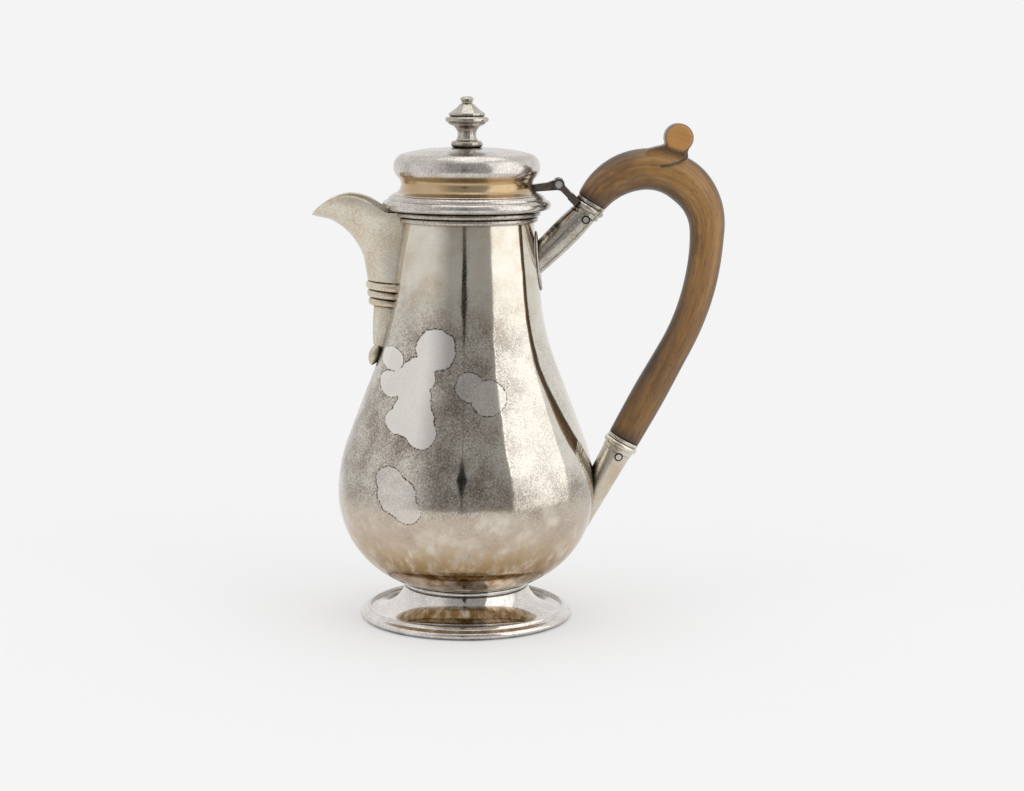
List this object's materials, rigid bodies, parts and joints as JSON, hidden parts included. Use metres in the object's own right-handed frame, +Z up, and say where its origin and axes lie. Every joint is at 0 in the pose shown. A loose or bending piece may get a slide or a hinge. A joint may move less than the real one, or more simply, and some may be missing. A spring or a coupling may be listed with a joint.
{
  "type": "coffee pot",
  "caption": "Baluster silver coffee pot with a hinged domed lid and turned finial, a short beak spout, a spreading foot and a C-scroll wooden handle pinned into sockets.",
  "frame": {"origin": "centre of the foot on the surface that the pot stands on", "axes": "+Z up through the finial, -X towards the spout, +X towards the handle"},
  "size_m": [0.1722, 0.1086, 0.22],
  "materials": {
    "silver": "polished sterling silver, partly tarnished",
    "fruitwood": "satin polish, darkened at the edges"
  },
  "bodies": {
    "pot": {"body_shell": "silver", "rim_moulding": "silver", "foot_collet": "silver", "foot_shell": "silver", "foot_rim": "silver", "spout_shell": "silver", "spout_band": "silver", "spout_drop": "silver", "spout_bead": "silver", "upper_socket": "silver", "upper_collar": "silver", "lower_socket": "silver", "lower_collar": "silver", "handle_grip": "fruitwood", "upper_handle_pin": "silver", "lower_handle_pin": "silver", "hinge_bracket": "silver", "hinge_pin": "silver"},
    "lid": {"lid_flange": "silver", "lid_dome": "silver", "lid_bezel": "silver", "lid_lug": "silver", "finial_seat": "silver", "finial_knob": "silver", "finial_washer": "silver", "finial_nut": "silver"}
  },
  "joints": [
    {"name": "lid_hinge", "type": "hinge", "parent": "pot", "child": "lid", "pos_m": [0.0382, 0, 0.1841], "axis": [0, 1, 0], "range_deg": [0, 100]}
  ]
}
